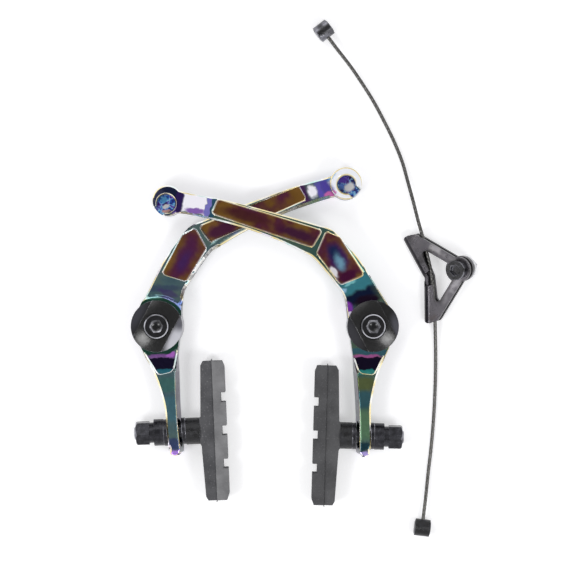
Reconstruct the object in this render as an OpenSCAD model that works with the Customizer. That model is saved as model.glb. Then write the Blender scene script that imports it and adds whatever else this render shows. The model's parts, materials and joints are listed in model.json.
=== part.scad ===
/* [Frame bosses] */
// Distance between the two bosses of the bicycle frame
boss_spacing = 88; // [84:0.5:94]
// Diameter of the boss that each arm turns on
boss_d = 9; // [8:0.5:9.5]

/* [Hub of an arm] */
// Outer diameter of the hub
hub_d = 21; // [20.5:0.5:24]
// Height of the hub from its rear face to its front face
hub_h = 16; // [15:0.5:18]
// Wall of the pressed-in bushing
bushing_wall = 1; // [0.8:0.1:1.4]
// Wall between the bushing and the spring pocket
hub_inner_wall = 1; // [0.8:0.1:1.4]
// Wall outside the spring pocket
hub_outer_wall = 1.3; // [1:0.1:1.8]
// Depth of the spring pocket
spring_pocket_depth = 6.6; // [6:0.2:8]

/* [Arm] */
// Depth of the front arm's face below the front face of its hub
front_arm_recess = 0.5; // [0.2:0.1:1]
// Height of the rear arm above the ground plane
rear_arm_z = 1.5; // [0.5:0.25:2]
// Gap between the arms where they cross
crossing_gap = 1; // [0.5:0.1:2]
// Reach of the cable tip beside the pivot
tip_x = 83.7; // [78:0.5:90]
// Height of the cable tip above the pivot
tip_y = 51.2; // [46:0.2:56]
// Outer diameter of the cable tip
tip_d = 12.4; // [11.8:0.2:14]
// Outer diameter of the rear arm's cable tip
rear_tip_d = 13.2; // [12:0.2:14]
// Setback of the rear arm's cable tip
rear_tip_back = 1.4; // [0:0.1:2]
// Distance of the elbow beside the pivot
elbow_x = 20.4; // [18:0.2:24]
// Height of the elbow above the pivot
elbow_y = 33.6; // [30:0.3:37]
// Width of the arm at its elbow
elbow_w = 13.6; // [12.6:0.2:15]
// Width of the arm behind its tip
reach_w = 8.6; // [8:0.2:10]
// Width of the arm between elbow and hub
shoulder_w = 13.8; // [13:0.2:16]
// Upward bow of the arm between elbow and tip
reach_bow = 2.3; // [1:0.1:3]
// Outward bow of the arm between elbow and hub
shoulder_bow = 3.5; // [2:0.1:4]
// Depth of the lightening pockets
pocket_depth = 1.3; // [0.8:0.1:1.8]
// Width of the long pocket at the end near the tip
pocket_tip_w = 5.6; // [4.4:0.2:6]
// Width of the long pocket at the end near the elbow
pocket_elbow_w = 7.2; // [6:0.2:8]
// Radius of the round step round the rear arm's hub
step_r = 11.7; // [11:0.1:13]
// Shift of the long pocket towards the outer edge
pocket_lift = 1; // [0:0.1:1.2]
// Closing turn of the rear arm against the front arm
rear_arm_turn = 5.4; // [4:0.2:7]

/* [Cable socket] */
// Diameter of the barrel at each end of the straddle cable
barrel_d = 7; // [6:0.2:7.4]
// Length of that barrel
barrel_l = 6.2; // [5:0.2:7]
// Play of the barrel in its socket, on the diameter
barrel_play = 0.4; // [0.2:0.1:0.6]
// Depth of the socket
socket_depth = 7.6; // [7:0.2:9]
// Widening of the socket at its mouth, on the radius
socket_flare = 0.95; // [0.5:0.05:1.2]

/* [Lower leg] */
// Width of the leg where the pad is clamped
leg_w = 5.9; // [5.2:0.1:6.6]
// Depth of the leg from front to rear
leg_depth = 10.2; // [9.4:0.2:11]
// Height of the pad post above the ground plane
post_z = 7.5; // [7:0.25:8.5]
// Distance of the pad post below the pivot, front arm
front_post_drop = 45.3; // [44:0.1:46.6]
// Distance of the pad post below the pivot, rear arm
rear_post_drop = 44; // [43:0.1:46]
// Distance of the pad post beside the pivot, front arm
front_post_x = 3.6; // [2.6:0.2:4.6]
// Distance of the pad post beside the pivot, rear arm
rear_post_x = 2.8; // [2:0.2:4]
// Height travel of the post in its slot
post_travel = 5; // [4:0.5:6]

/* [Brake pad] */
// Length of the pad
pad_length = 57; // [54:1:62]
// Depth of the pad from its back to its face
pad_depth = 11; // [10:0.5:13]
// Height of the pad across the rim
pad_height = 10; // [9:0.5:11]
// Width of each groove in the face
pad_groove_w = 3.9; // [3:0.1:5]
// Depth of each groove in the face
pad_groove_depth = 1.9; // [1:0.1:3]
// Distance between the grooves
pad_groove_pitch = 13.6; // [12:0.1:15]
// Diameter of the threaded post
post_d = 6; // [5:0.5:6]
// Tilt of the front arm's pad towards the rim
front_pad_toe = 1.6; // [0:0.2:3]
// Tilt of the rear arm's pad away from the rim
rear_pad_toe = 3; // [0:0.2:4]
// Thickness of the steel backing in the pad
backing_t = 1.6; // [1.2:0.1:2]
// Depth of the backing's middle under the pad's back
backing_depth = 3; // [2.4:0.1:4]
// Distance of the backing from each end of the pad
backing_inset = 7; // [5:0.5:9]
// Distance from the middle of the front arm's leg to the back of the pad
front_standoff = 9.6; // [9:0.1:11]
// Distance from the middle of the rear arm's leg to the back of the pad
rear_standoff = 10.4; // [9:0.1:11]

/* [Washers and nut] */
// Outer diameter of the dome and cup washers
washer_d = 11; // [10.4:0.2:12]
// Height of the straight edge of a dome washer
dome_edge = 1.6; // [1.2:0.1:2]
// Distance from the middle of the leg to the outside of the outer cup
outer_stack = 8.5; // [7.6:0.1:9]
// Length of the pad nut's collar
collar_l = 1.9; // [1:0.1:2.4]
// Length of the pad nut's hexagon
nut_l = 5.5; // [5:0.1:7]
// Width of the pad nut across its flats
nut_af = 9; // [8.5:0.5:10]

/* [Spring cap and pivot bolt] */
// Height of the cap above the arm's hub
cap_h = 4.4; // [4:0.2:5.4]
// Width across the cap's spanner flats
cap_af = 13; // [12:0.5:14]
// Depth of the spanner flats from the cap's top
cap_flat_depth = 2; // [1.4:0.2:2.6]
// Turn of the spanner flats from the upright
cap_turn = 28; // [0:1:45]
// Gap under the cap
cap_gap = 0.25; // [0.1:0.05:0.4]
// Depth of the cap's spigot in the bushing
spigot_depth = 4; // [3:0.5:6]
// Diameter of the bolt's thread
bolt_d = 6; // [5:0.5:6]
// Diameter of the bolt's head
bolt_head_d = 10; // [9:0.5:10.4]
// Height of the bolt's head
bolt_head_h = 3.6; // [3:0.2:4.6]
// Length of the bolt under its head
bolt_l = 18; // [17:0.25:18.25]
// Depth of the bolt's seat under the cap's top
bolt_sink = 2.45; // [2:0.05:2.8]
// Hexagon socket of the bolt, across its flats
bolt_hex = 5; // [4:0.5:5]
// Thickness of the bolt's washer
bolt_washer_t = 0.8; // [0.5:0.1:1.2]

/* [Return spring] */
// Share of the spring pocket's width that the wire fills
spring_fill = 0.48; // [0.4:0.02:0.56]
// Turns of the spring
spring_turns = 3; // [2:0.5:3.5]

/* [Straddle cable] */
// Thickness of the straddle cable
cable_d = 1.5; // [1.2:0.1:1.6]
// Sides of the cable's tube
cable_sides = 8; // [8:1:12]

/* [Cable yoke] */
// Thickness of the folded sheet
yoke_sheet = 1.4; // [1.2:0.1:1.6]
// Gap between the two plates
yoke_gap = 2; // [1.8:0.1:2.4]
// Length of the yoke along its fold
yoke_span = 37; // [34:1:40]
// Distance from the clamp bolt to the middle of the fold
yoke_reach = 13.5; // [12.5:0.25:15]
// Slope of each half of the fold
yoke_slope = 15; // [12:1:18]
// Outer diameter of the eye round the clamp bolt
yoke_eye_d = 10.6; // [10:0.2:12]
// Distance of the window's corners from the middle of the yoke
window_q = 10.6; // [9:0.2:12]
// Width of the limbs of the yoke
yoke_limb_w = 3.2; // [2.6:0.2:3.8]
// Width of the yoke's ends, from the middle of the fold
yoke_end_w = 3.8; // [3:0.2:5]
// Width of the strip along the fold, from its middle
yoke_strip_w = 1.3; // [1:0.1:2]
// Opening in the front of the fold
yoke_opening = 5; // [4:0.2:6]
// Tilt of the yoke as it lies
yoke_tilt = 26; // [24:1:30]
// Place of the yoke's clamp bolt beside the middle
yoke_at_x = 79.9; // [78:0.1:82]
// Place of the yoke's clamp bolt above the middle
yoke_at_y = 23.3; // [21:0.1:26]
// Turn of the yoke as it lies
yoke_turn = 14.4; // [12:0.2:17]
// Diameter of the clamp bolt
clamp_d = 5; // [4:0.5:5]
// Diameter of the clamp bolt's head
clamp_head_d = 8; // [7:0.5:9]
// Hexagon socket of the clamp bolt, across its flats
clamp_hex = 4; // [3:0.5:5]
// Diameter of the washer and of the nut's flange behind the yoke
clamp_washer_d = 10.4; // [9:0.2:11]
// Thickness of that washer
clamp_washer_t = 1.5; // [1:0.1:2]
// Width of the clamp nut across its flats
clamp_nut_af = 8; // [7:0.5:8]
// Height of the clamp nut
clamp_nut_h = 5; // [4:0.2:5.4]
// Height of the clamp bolt's head
clamp_head_h = 3.4; // [3:0.2:5]

/* [Hidden] */
$fn = 64;

// Clearances that are shared by the fits
running = 0.05;
seat = 0.05;
slip = 0.3;
cut = 0.5;

// Heights of the two upper arms, which share the height of the hub
arm_thickness = (hub_h - front_arm_recess - rear_arm_z - crossing_gap) / 2;
front_arm_z = rear_arm_z + arm_thickness + crossing_gap;
leg_z = post_z - leg_depth / 2;

// Bushing, spring pocket and cap follow the frame boss
bushing_d = boss_d + 2 * bushing_wall;
pocket_inner_d = bushing_d + 2 * hub_inner_wall;
pocket_outer_d = hub_d - 2 * hub_outer_wall;
cap_z = hub_h + cap_gap;
cap_top = cap_z + cap_h;
spigot_d = boss_d - 2 * running;
bolt_seat_z = cap_top - bolt_sink;
spring_mean_d = (pocket_inner_d + pocket_outer_d) / 2;
spring_wire = spring_fill * (pocket_outer_d - pocket_inner_d) / 2;
spring_floor = hub_h - spring_pocket_depth;
spring_height = spring_pocket_depth - spring_wire - 2 * seat;
spring_leg = 2;
spring_leg_hole = spring_leg + cut;
cap_dome_r = 34;

// A point between two others, with its bow
function mix(a, b, t) = a + (b - a) * t;
function bow(t) = 4 * t * (1 - t);
function reach_w_at(t) = mix(reach_w, elbow_w, pow(t, 3.2));
function reach_at(t) = [
    mix(-tip_x, -elbow_x, t),
    mix(tip_y, elbow_y, t) + reach_bow * bow(t),
    reach_w_at(t) / 2
];
function shoulder_at(t) = [
    mix(-elbow_x, 0, t) + shoulder_bow * bow(t),
    mix(elbow_y, 0, t),
    mix(elbow_w, shoulder_w, min(1, 1.6 * t)) / 2
];

// Stations along the arm and down the leg: x, y and half the width
ribbon_steps = 4;
ribbon_inset = 0.3;
corner_steps = 5;
full_turn = 360;
reach_stations = [for (t = [0.1, 0.3, 0.5, 0.7, 0.82, 0.92]) reach_at(t)];
shoulder_stations = [for (t = [0.18, 0.36, 0.58]) shoulder_at(t)];
elbow_station = [-elbow_x, elbow_y, elbow_w / 2];
hub_station = [0, 0, hub_d / 2 - ribbon_inset];
shoulder_outline = concat([elbow_station], shoulder_stations, [hub_station]);
function tip_station(at, d) = [at[0], at[1], d / 2 - ribbon_inset];
slot_low = front_post_drop + 2;
slot_high = slot_low - post_travel;
clamp_top = slot_high - washer_d / 2 + 0.9;
clamp_end = slot_low + washer_d / 2 - 1.9;

// The leg is straight between the two lists, where the washers are clamped against it
function leg_stations(x) = [
    hub_station,
    [-x + 2.1, -12, 6.7],
    [-x + 0.8, -20, 4.8],
    [-x, -31, leg_w / 2 + 0.3],
    [-x, -clamp_top, leg_w / 2]
];
function leg_end_stations(x) = [
    [-x, -clamp_end, leg_w / 2],
    [-x, -clamp_end - 0.6, leg_w / 2 - 0.1],
    [-x + 0.8, -slot_low - 5, 2],
    [-x + 1.2, -slot_low - 6, 1.3]
];
function skirt_stations(x) = [
    hub_station,
    [-x + 2.1, -9.5, 7.2],
    [-x + 1.2, -15, 5.4],
    [-x + 0.7, -18.6, 4.2],
    [-x + 0.6, -19.9, 2.6]
];

// Steps and slopes beside the hubs
shoulder_way = 112;
slope_start = 13;
slope_end = 22;
step_drop = 0.6;
step_lean = 2.2;
leg_drop = 1.4;
skirt_drop = 1;

// Corners of the lightening pockets, inside their round corners
pocket_r = 1;
short_pocket_w = 7.2;
short_pocket_l = 15;
reach_way = atan2(elbow_y - tip_y, tip_x - elbow_x);
function beside(t, off) = [
    reach_at(t)[0] - off * sin(reach_way),
    reach_at(t)[1] + off * cos(reach_way)
];
long_pocket = [
    beside(0.325, pocket_lift + pocket_tip_w / 2 - pocket_r),
    beside(0.95, pocket_lift + pocket_elbow_w / 2 - pocket_r),
    beside(0.93, pocket_lift - pocket_elbow_w / 2 + pocket_r),
    beside(0.315, pocket_lift - pocket_tip_w / 2 + pocket_r)
];
short_pocket = [
    [-elbow_x + 2.2, elbow_y + 3.4],
    [-elbow_x + 6.2, elbow_y + 1.6],
    [-elbow_x + 0.6 + 2 * short_pocket_w, elbow_y - 0.8 * short_pocket_l],
    [-elbow_x + 0.6 + short_pocket_w, elbow_y - short_pocket_l],
    [-elbow_x - 0.8, elbow_y - 3.6]
];

// Cable socket in the tip
socket_d = barrel_d + barrel_play;
front_tip = [-tip_x, tip_y];
front_socket = front_tip + [-0.6, -1.1];
rear_tip = [-tip_x + rear_tip_back, tip_y - 0.3 * rear_tip_back];
rear_socket = rear_tip + [-0.2, -0.4];
socket_way = 228;
socket_slot_w = 4.4;
front_tip_z = front_arm_z - 5.5;
rear_tip_top = rear_arm_z + arm_thickness + 5.5;

// Spherical washers: every sphere is centred in the middle of the leg
sphere_r = sqrt(pow(washer_d / 2, 2) + pow(leg_w / 2 + dome_edge, 2));
washer_bore = post_d + 2 * slip;
dome_bore = post_d + 4 * slip;

// Straddle cable: points chosen by hand, from the upper barrel to the lower one
cable_route = [
    [24.6, 121.2, 3.5], [26.2, 119, 3.5], [30, 114, 3.2], [35.2, 107.4, 2.5], [40.2, 100.2, 1.7],
    [45, 92.6, 1.2], [49.4, 84.4, 1], [53.4, 76.2, 1.1], [56.8, 67.6, 1.6], [59.2, 58.8, 2.6],
    [61.2, 51.2, 3.7], [63, 43.8, 4.7], [64.9, 37, 5.1], [66.7, 30, 5.1], [68.3, 23, 5],
    [69.2, 16.5, 4.7], [69.8, 10, 4], [70.2, 3, 3.2], [70.4, -4, 2.4], [70.6, -14, 1.4],
    [70.4, -26, 1], [69.8, -38, 1], [68.8, -50, 1], [67.5, -61, 1.4], [66.4, -71, 2.5],
    [65.5, -78, 3.3], [65, -82.4, 3.5]
];
upper_barrel_at = [24.2, 121.8];
upper_barrel_turn = 37.5;
lower_barrel_at = [64.9, -83.4];
lower_barrel_turn = -7;

// A smooth curve through the points of the route
function curve(p0, p1, p2, p3, t) = 0.5 * (
    2 * p1 + (p2 - p0) * t + (2 * p0 - 5 * p1 + 4 * p2 - p3) * t * t
    + (3 * p1 - p0 - 3 * p2 + p3) * t * t * t
);
function route_at(pts, i, t) = curve(
    pts[max(i - 1, 0)], pts[i], pts[i + 1], pts[min(i + 2, len(pts) - 1)], t
);
function smooth(pts, steps) = concat(
    [for (i = [0 : len(pts) - 2]) for (s = [0 : steps - 1]) route_at(pts, i, s / steps)],
    [pts[len(pts) - 1]]
);

// Yoke: both halves of the fold slope away from the bolt
yoke_w = yoke_gap / 2 + yoke_sheet;
function fold_at(q) = -yoke_reach - abs(q) * tan(yoke_slope);
fold_end = fold_at(yoke_span / 2);
yoke_at_z = yoke_w - fold_end * sin(yoke_tilt);
yoke_end_r = 2.8;
roll_lap = 0.6;
roll_bulge = 0.08;

// Shapes that repeat

// The outline of a ribbon through stations, each given as x, y and half its width; a second
// list of stations goes on straight from the first
function heading(pts, i) =
    let (d = pts[min(i + 1, len(pts) - 1)] - pts[max(i - 1, 0)]) [d[0], d[1]] / norm([d[0], d[1]]);
function side(pts, s) = [
    for (i = [0 : len(pts) - 1])
        let (h = heading(pts, i)) [pts[i][0] - s * pts[i][2] * h[1], pts[i][1] + s * pts[i][2] * h[0]]
];
function backwards(pts) = [for (i = [len(pts) - 1 : -1 : 0]) pts[i]];

function edge(pts, s) = len(pts) > 0 ? smooth(side(pts, s), ribbon_steps) : [];

module ribbon(stations, further = []) {
    polygon(concat(
        edge(stations, 1), edge(further, 1), backwards(edge(further, -1)), backwards(edge(stations, -1))
    ));
}

// A convex outline, listed clockwise and grown by a radius, so that its corners are round
function way(a, b) = atan2(b[1] - a[1], b[0] - a[0]);
function grown(pts, r) = [
    for (i = [0 : len(pts) - 1])
        let (
            n = len(pts),
            before = way(pts[(i + n - 1) % n], pts[i]),
            turn = (before - way(pts[i], pts[(i + 1) % n]) + 2 * full_turn) % full_turn
        )
        for (k = [0 : corner_steps])
            let (angle = before + 90 - turn * k / corner_steps) pts[i] + r * [cos(angle), sin(angle)]
];

// A tube swept along points
module tube(points, d, sides) {
    n = len(points);
    rings = [
        for (i = [0 : n - 1])
            let (
                ahead = points[min(i + 1, n - 1)] - points[max(i - 1, 0)],
                t = ahead / norm(ahead),
                u0 = cross(t, abs(t[2]) > 0.9 ? [1, 0, 0] : [0, 0, 1]),
                u = u0 / norm(u0),
                v = cross(t, u)
            )
            for (k = [0 : sides - 1])
                points[i] + d / 2 * (u * cos(360 * k / sides) + v * sin(360 * k / sides))
    ];
    walls = [
        for (i = [0 : n - 2]) for (k = [0 : sides - 1])
            let (a = i * sides + k, b = i * sides + (k + 1) % sides)
            each [[a, a + sides, b + sides], [a, b + sides, b]]
    ];
    start = [for (k = [0 : sides - 1]) k];
    end = [for (k = [sides - 1 : -1 : 0]) (n - 1) * sides + k];
    polyhedron(rings, concat(walls, [start, end]), convexity = 10);
}

// Places of the two arms and of what is clamped in their legs
module at_front() {
    translate([boss_spacing / 2, 0, 0]) children();
}

module at_rear() {
    translate([-boss_spacing / 2, 0, 0]) rotate([0, 0, rear_arm_turn]) mirror([1, 0, 0]) children();
}

module at_front_leg() {
    at_front() translate([-front_post_x, -front_post_drop, post_z]) children();
}

module at_rear_leg() {
    at_rear() translate([-rear_post_x, -rear_post_drop, post_z]) children();
}

module at_front_post() {
    at_front_leg() rotate([0, 0, -front_pad_toe]) children();
}

module at_rear_post() {
    at_rear_leg() rotate([0, 0, rear_pad_toe]) children();
}

// A solid of revolution about the post, which points away from the rim
module about_post() {
    rotate([0, 90, 0]) children();
}

// Arms

// The sloped block under the front arm, which joins it to its hub
module front_shoulder() {
    top = front_arm_z + arm_thickness;
    intersection() {
        linear_extrude(hub_h) ribbon(shoulder_outline);
        rotate([0, 0, shoulder_way]) rotate([90, 0, 0]) translate([0, 0, -hub_d])
            linear_extrude(2 * hub_d) polygon([
                [0, leg_z], [slope_start, leg_z], [slope_end, front_arm_z], [slope_end, top], [0, top]
            ]);
    }
}

// The round step on the rear arm, which joins it to its hub
module rear_shoulder() {
    step_h = hub_h - step_drop - rear_arm_z;
    intersection() {
        translate([0, 0, rear_arm_z]) linear_extrude(step_h) ribbon(shoulder_outline);
        translate([0, 0, rear_arm_z]) cylinder(r1 = step_r + step_lean, r2 = step_r, h = step_h);
    }
}

module tip_socket(at, top) {
    translate([at[0], at[1], top - socket_depth]) {
        cylinder(d = socket_d, h = socket_depth + cut);
        translate([0, 0, socket_depth - socket_flare])
            cylinder(r1 = socket_d / 2, r2 = socket_d / 2 + socket_flare, h = socket_flare);
        translate([0, 0, socket_depth]) cylinder(r = socket_d / 2 + socket_flare, h = cut);
        rotate([0, 0, socket_way]) translate([0, -socket_slot_w / 2, 0])
            cube([tip_d, socket_slot_w, socket_depth + cut]);
    }
}

module hub_bores() {
    translate([0, 0, -cut]) cylinder(d = bushing_d, h = hub_h + 2 * cut);
    translate([0, 0, spring_floor]) difference() {
        cylinder(d = pocket_outer_d, h = spring_pocket_depth + cut);
        translate([0, 0, -cut]) cylinder(d = pocket_inner_d, h = spring_pocket_depth + 3 * cut);
    }
    // hole for the spring's lower leg
    translate([spring_mean_d / 2, 0, spring_floor - spring_leg_hole])
        cylinder(d = spring_wire + 2 * slip, h = spring_leg_hole + cut);
}

module leg(x) {
    difference() {
        union() {
            translate([0, 0, leg_z]) linear_extrude(leg_depth) ribbon(leg_stations(x), leg_end_stations(x));
            translate([0, 0, leg_z - leg_drop])
                linear_extrude(hub_h - skirt_drop - leg_z + leg_drop) ribbon(skirt_stations(x));
        }
        // slot for the pad post
        translate([-x - leg_w, 0, post_z]) rotate([0, 90, 0]) linear_extrude(2 * leg_w)
            polygon(grown([[0, -slot_high], [0, -slot_low]], washer_bore / 2));
    }
}

// An arm from its tip to its leg; tip_low and tip_top are the heights of the tip
module arm(z, leg_x, tip, head_d, socket, tip_low, tip_top) {
    difference() {
        union() {
            cylinder(d = hub_d, h = hub_h);
            translate([0, 0, z]) linear_extrude(arm_thickness)
                ribbon(concat([tip_station(tip, head_d)], reach_stations, shoulder_outline));
            children();
            translate([tip[0], tip[1], tip_low]) cylinder(d = head_d, h = tip_top - tip_low);
            leg(leg_x);
        }
        hub_bores();
        tip_socket(socket, tip_top);
        translate([0, 0, z + arm_thickness - pocket_depth]) {
            linear_extrude(arm_thickness) polygon(grown(long_pocket, pocket_r));
            linear_extrude(arm_thickness) polygon(grown(short_pocket, pocket_r));
        }
    }
}

module front_arm() {
    top = front_arm_z + arm_thickness;
    color("darkslateblue") at_front()
        arm(front_arm_z, front_post_x, front_tip, tip_d, front_socket, front_tip_z, top) front_shoulder();
}

module rear_arm() {
    color("teal") at_rear()
        arm(rear_arm_z, rear_post_x, rear_tip, rear_tip_d, rear_socket, rear_arm_z, rear_tip_top)
            rear_shoulder();
}

module bushing() {
    color("goldenrod") difference() {
        cylinder(d = bushing_d, h = hub_h);
        translate([0, 0, -cut]) cylinder(d = boss_d, h = hub_h + 2 * cut);
    }
}

// Torsion spring, with one leg in the arm and one in the cap
module return_spring() {
    r = spring_mean_d / 2;
    low = spring_floor + seat + spring_wire / 2;
    turn_steps = 20;
    steps = turn_steps * spring_turns;
    coil = [
        for (i = [0 : steps])
            [r * cos(360 * i / turn_steps), r * sin(360 * i / turn_steps), low + spring_height * i / steps]
    ];
    lower_leg = [[r, 0, low - spring_leg], [r, 0, low - spring_leg / 2]];
    top = coil[steps];
    upper_leg = [for (i = [1, 2]) top + [0, 0, spring_leg * i / 2]];
    color("dimgray") tube(concat(lower_leg, coil, upper_leg), spring_wire, 8);
}

// Cap that winds the spring, turned by its spanner flats
module spring_cap(turn) {
    color([0.1, 0.1, 0.11]) difference() {
        union() {
            intersection() {
                translate([0, 0, cap_z]) cylinder(d = hub_d, h = cap_h);
                // domed top
                translate([0, 0, cap_top - cap_dome_r]) sphere(r = cap_dome_r, $fn = 128);
            }
            translate([0, 0, hub_h - spigot_depth]) cylinder(d = spigot_d, h = spigot_depth + cap_gap + cut);
        }
        // spanner flats
        for (s = [-1, 1]) rotate([0, 0, turn]) translate([s * (cap_af / 2 + hub_d / 2), 0, cap_top])
            cube([hub_d, 2 * hub_d, 2 * cap_flat_depth], center = true);
        // counterbore and bore for the bolt
        translate([0, 0, bolt_seat_z - bolt_washer_t]) cylinder(d = bolt_head_d + 2 * slip, h = cap_h);
        translate([0, 0, -cut]) cylinder(d = bolt_d + 2 * slip, h = cap_top);
        // hole for the spring's upper leg
        rotate([0, 0, 360 * spring_turns]) translate([spring_mean_d / 2, 0, cap_z - cut])
            cylinder(d = spring_wire + 2 * slip, h = spring_leg_hole);
    }
}

module bolt_washer() {
    color("dimgray") translate([0, 0, bolt_seat_z - bolt_washer_t]) difference() {
        cylinder(d = bolt_head_d + slip, h = bolt_washer_t);
        translate([0, 0, -cut]) cylinder(d = bolt_d + slip, h = bolt_washer_t + 2 * cut);
    }
}

// Bolt with a rolled thread, thicker than its shank
module pivot_bolt() {
    shank_d = bolt_d - 0.8;
    shank_l = 6.2;
    chamfer = 0.5;
    color([0.13, 0.13, 0.14]) difference() {
        union() {
            translate([0, 0, bolt_seat_z]) cylinder(d = bolt_head_d, h = bolt_head_h - chamfer);
            translate([0, 0, bolt_seat_z + bolt_head_h - chamfer])
                cylinder(d1 = bolt_head_d, d2 = bolt_head_d - 2 * chamfer, h = chamfer);
            translate([0, 0, bolt_seat_z - shank_l]) cylinder(d = shank_d, h = shank_l + cut);
            translate([0, 0, bolt_seat_z - bolt_l]) cylinder(d = bolt_d, h = bolt_l - shank_l);
        }
        translate([0, 0, bolt_seat_z + bolt_head_h - 2.6])
            cylinder(d = bolt_hex / cos(30), h = 3, $fn = 6);
    }
}

// Pads: x runs along the post, away from the rim, and starts at the back of the pad

module pad_outline() {
    half = pad_length / 2;
    face = -pad_depth;
    polygon([
        [face + 0.9, half], [face, half - 2.4], [face, -half + 2.4], [face + 0.9, -half],
        [-2.4, -half], [-1.5, -half + 1.6], [-0.5, -6], [0, -5.2], [0, 5.2], [-0.5, 6],
        [-1.3, half - 1.6], [-2.2, half]
    ]);
}

module pad_rubber(standoff) {
    face = -pad_depth;
    lip = 0.7;
    lip_depth = 0.55 * pad_depth;
    color([0.2, 0.2, 0.21]) translate([-standoff, 0, 0]) difference() {
        union() {
            translate([0, 0, -pad_height / 2]) linear_extrude(pad_height) intersection() {
                pad_outline();
                translate([face - 1, -pad_length]) square([lip_depth, 2 * pad_length]);
            }
            translate([0, 0, -pad_height / 2 + lip]) linear_extrude(pad_height - 2 * lip) pad_outline();
        }
        for (i = [-1 : 1]) translate([face - cut, i * pad_groove_pitch - pad_groove_w / 2, -pad_height])
            cube([pad_groove_depth + cut, pad_groove_w, 2 * pad_height]);
        backing();
        about_post() translate([0, 0, -backing_depth]) cylinder(d = post_d, h = pad_depth);
    }
}

// Steel plate moulded into the rubber
module backing() {
    backing_h = pad_height - 4.4;
    translate([-backing_depth, 0, 0])
        cube([backing_t, pad_length - 2 * backing_inset, backing_h], center = true);
}

module pad_post(standoff) {
    start = -standoff - backing_depth;
    end = outer_stack + collar_l + nut_l + 0.1;
    color("dimgray") {
        translate([-standoff, 0, 0]) backing();
        about_post() translate([0, 0, start]) cylinder(d = post_d, h = end - start);
        about_post() translate([0, 0, end]) cylinder(d1 = post_d, d2 = post_d - 1.4, h = 0.6);
    }
}

// Washers of revolution about the post, drawn on the side away from the rim
module dome_washer() {
    flat = leg_w / 2;
    color([0.14, 0.14, 0.15]) about_post() difference() {
        intersection() {
            translate([0, 0, flat]) cylinder(d = washer_d, h = sphere_r);
            sphere(r = sphere_r);
        }
        cylinder(d = dome_bore, h = 2 * sphere_r);
    }
}

module cup_washer(outside) {
    color([0.1, 0.1, 0.11]) about_post() difference() {
        translate([0, 0, leg_w / 2 + dome_edge + slip / 3])
            cylinder(d = washer_d, h = outside - leg_w / 2 - dome_edge - slip / 3);
        sphere(r = sphere_r + seat);
        cylinder(d = washer_bore, h = 2 * outside);
    }
}

module inboard() {
    mirror([1, 0, 0]) children();
}

module pad_nut() {
    nut_turn = 5;
    color([0.12, 0.12, 0.13]) about_post() difference() {
        union() {
            translate([0, 0, outer_stack]) cylinder(d = nut_af - 0.6, h = collar_l + cut);
            translate([0, 0, outer_stack + collar_l]) intersection() {
                rotate([0, 0, nut_turn]) cylinder(d = nut_af / cos(30), h = nut_l, $fn = 6);
                translate([0, 0, -nut_af]) cylinder(
                    r1 = nut_af * 0.5 + nut_af + nut_l, r2 = nut_af * 0.5, h = nut_af + nut_l
                );
            }
        }
        translate([0, 0, outer_stack - cut]) cylinder(d = post_d, h = collar_l + nut_l + 2 * cut);
    }
}

// Straddle cable and its ends

module straddle_cable() {
    color("dimgray") tube(smooth(cable_route, 3), cable_d, cable_sides);
}

module cable_end(at, turn) {
    ridge = 0.5;
    color([0.1, 0.1, 0.11]) translate([at[0], at[1], barrel_d / 2]) rotate([0, 0, turn])
        rotate([0, 90, 0]) translate([0, 0, -barrel_l / 2]) {
            cylinder(d = barrel_d, h = barrel_l);
            translate([0, 0, -ridge / 2]) cylinder(d = barrel_d - 1.6, h = barrel_l + ridge);
        }
}

// Yoke: p runs towards the clamp bolt, q along the fold

module at_yoke() {
    translate([yoke_at_x, yoke_at_y, yoke_at_z]) rotate([0, 0, yoke_turn]) rotate([0, -yoke_tilt, 0]) children();
}

module yoke_plate() {
    end_q = yoke_span / 2;
    corner = fold_end + yoke_end_w;
    eye_r = yoke_eye_d / 2;
    chamfer = 1;
    difference() {
        union() {
            difference() {
                polygon([
                    [corner, end_q], [fold_end, end_q], [-yoke_reach, 0], [fold_end, -end_q], [corner, -end_q],
                    [corner + chamfer, -end_q + 0.7 * chamfer], [0, -eye_r + seat], [0, eye_r - seat],
                    [corner + chamfer, end_q - 0.7 * chamfer]
                ]);
                polygon([
                    [-yoke_reach + yoke_strip_w, 0], [-yoke_reach - seat, window_q - 1.4],
                    [-yoke_reach + 0.5, window_q], [-yoke_reach + 1.9, window_q + 0.3],
                    [-yoke_limb_w, yoke_limb_w], [-yoke_limb_w, -yoke_limb_w],
                    [-yoke_reach + 1.9, -window_q - 0.3], [-yoke_reach + 0.5, -window_q],
                    [-yoke_reach - seat, -window_q + 1.4]
                ]);
            }
            circle(r = eye_r);
        }
        circle(d = clamp_d + slip);
    }
}

// One half of the rolled fold
module yoke_roll(s) {
    length = yoke_span / 2 / cos(yoke_slope);
    translate([-yoke_reach, 0, 0]) rotate([0, 0, s * yoke_slope]) rotate([-s * 90, 0, 0]) difference() {
        cylinder(r = yoke_w + roll_bulge, h = length);
        translate([0, 0, -cut]) cylinder(r = yoke_gap / 2 - roll_bulge, h = length + 2 * cut);
        translate([roll_lap, -2 * yoke_w, -cut]) cube([2 * yoke_w, 4 * yoke_w, length + 2 * cut]);
    }
}

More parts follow.
